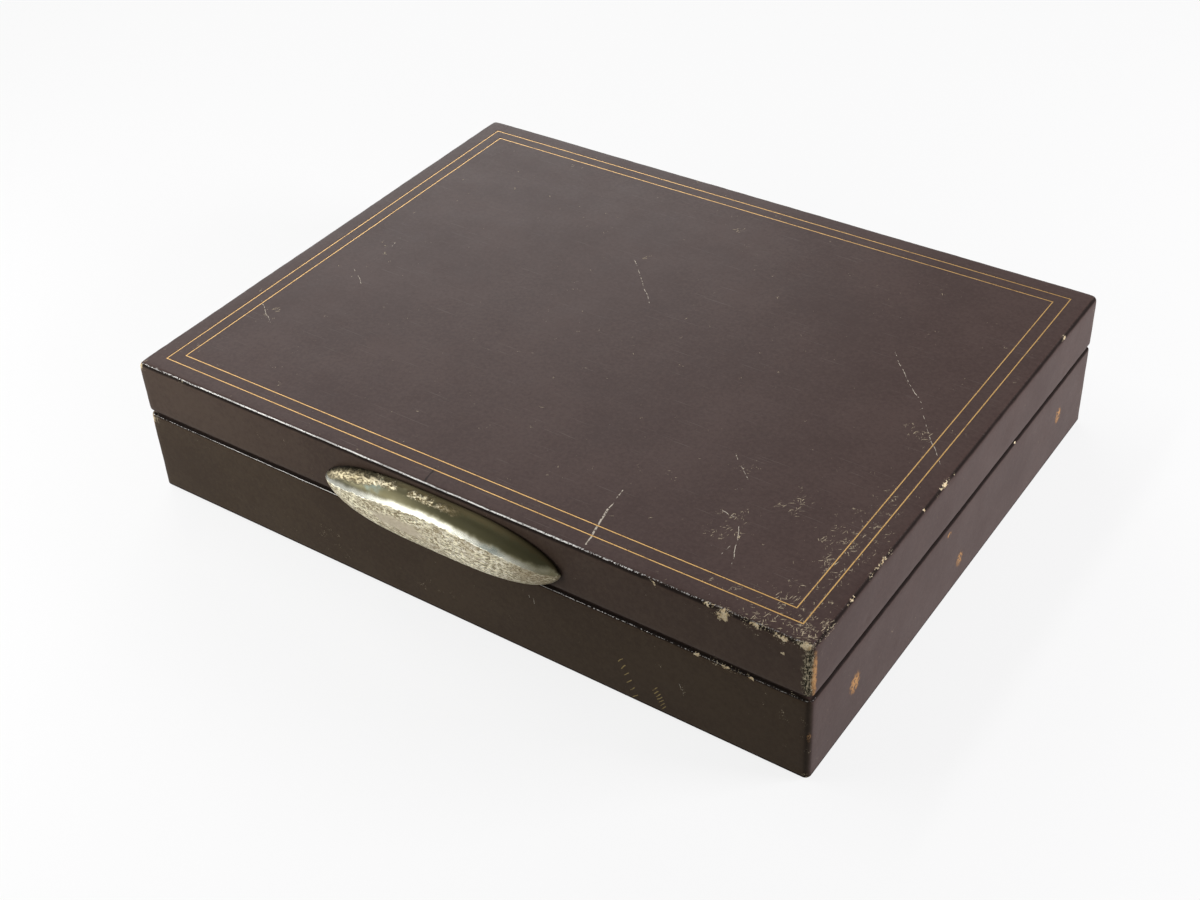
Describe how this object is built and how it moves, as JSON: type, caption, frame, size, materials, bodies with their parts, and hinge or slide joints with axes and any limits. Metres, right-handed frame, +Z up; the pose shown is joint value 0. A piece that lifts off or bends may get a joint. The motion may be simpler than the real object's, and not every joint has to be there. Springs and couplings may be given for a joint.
{
  "type": "game box",
  "caption": "Flat leather-covered hinged case with gilt lines on its lid, an oval metal thumb-piece, and a fitted interior that holds counters, cards, plaques and dice.",
  "frame": {"origin": "centre of the case's underside, on the plane it stands on", "axes": "+X to the right along the case's width, +Y to the back where the hinges are, +Z up"},
  "size_m": [0.32, 0.2572, 0.066],
  "materials": {
    "dark_brown_leather": "worn satin",
    "carcass_wood": "raw",
    "infill_card": "raw",
    "foot_baize": "felted",
    "suede_lining": "napped suede cloth",
    "gilding": "tooled gilt",
    "tarnished_silver_plate": "worn and pitted",
    "fixing_steel": "turned",
    "hinge_brass": "polished, a little dulled",
    "counter_red": "polished",
    "counter_ivory": "polished",
    "counter_green": "polished",
    "counter_black": "polished",
    "cards_red_back": "varnished",
    "cards_blue_back": "varnished",
    "plaque_ivory": "polished",
    "plaque_tortoiseshell": "polished, mottled",
    "dice_ivory": "polished",
    "pad_board_leather": "satin",
    "paper_sheets": "uncoated",
    "pencil_wood": "lacquered",
    "pencil_cap_brass": "polished"
  },
  "bodies": {
    "base": {"base_front_wall": "carcass_wood", "base_rear_wall": "carcass_wood", "base_left_wall": "carcass_wood", "base_right_wall": "carcass_wood", "base_bottom_panel": "carcass_wood", "base_leather": "dark_brown_leather", "base_infill_card": "infill_card", "base_foot_sheet": "foot_baize", "base_front_lining": "suede_lining", "base_rear_lining": "suede_lining", "base_left_lining": "suede_lining", "base_right_lining": "suede_lining", "floor_lining": "suede_lining", "left_long_divider": "suede_lining", "right_long_divider": "suede_lining", "left_cross_dividers": "suede_lining", "right_cross_dividers": "suede_lining", "centre_cross_divider": "suede_lining", "counter_rack": "suede_lining", "well_risers": "suede_lining", "left_hinge_base_leaf": "hinge_brass", "right_hinge_base_leaf": "hinge_brass", "left_hinge_pin": "hinge_brass", "right_hinge_pin": "hinge_brass", "base_leaf_screws": "hinge_brass", "red_counters": "counter_red", "ivory_counters": "counter_ivory", "green_counters": "counter_green", "black_counters": "counter_black", "rear_card_pack": "cards_red_back", "front_card_pack": "cards_blue_back", "rear_plaques": "plaque_ivory", "front_plaques": "plaque_tortoiseshell", "dice": "dice_ivory", "score_pad_board": "pad_board_leather", "score_pad_sheets": "paper_sheets", "pencil": "pencil_wood", "pencil_cap": "pencil_cap_brass"},
    "lid": {"lid_front_wall": "carcass_wood", "lid_rear_wall": "carcass_wood", "lid_left_wall": "carcass_wood", "lid_right_wall": "carcass_wood", "lid_top_panel": "carcass_wood", "lid_leather": "dark_brown_leather", "lid_ceiling_pad": "suede_lining", "lid_front_lining": "suede_lining", "lid_rear_lining": "suede_lining", "lid_left_lining": "suede_lining", "lid_right_lining": "suede_lining", "outer_gilt_line": "gilding", "inner_gilt_line": "gilding", "thumb_piece": "tarnished_silver_plate", "thumb_studs": "fixing_steel", "thumb_nuts": "fixing_steel", "left_hinge_lid_leaf": "hinge_brass", "right_hinge_lid_leaf": "hinge_brass", "lid_leaf_screws": "hinge_brass"}
  },
  "joints": [
    {"name": "lid_hinge", "type": "hinge", "parent": "base", "child": "lid", "pos_m": [0, 0.1216, 0.0407], "axis": [-1, 0, 0], "range_deg": [0, 100]}
  ]
}
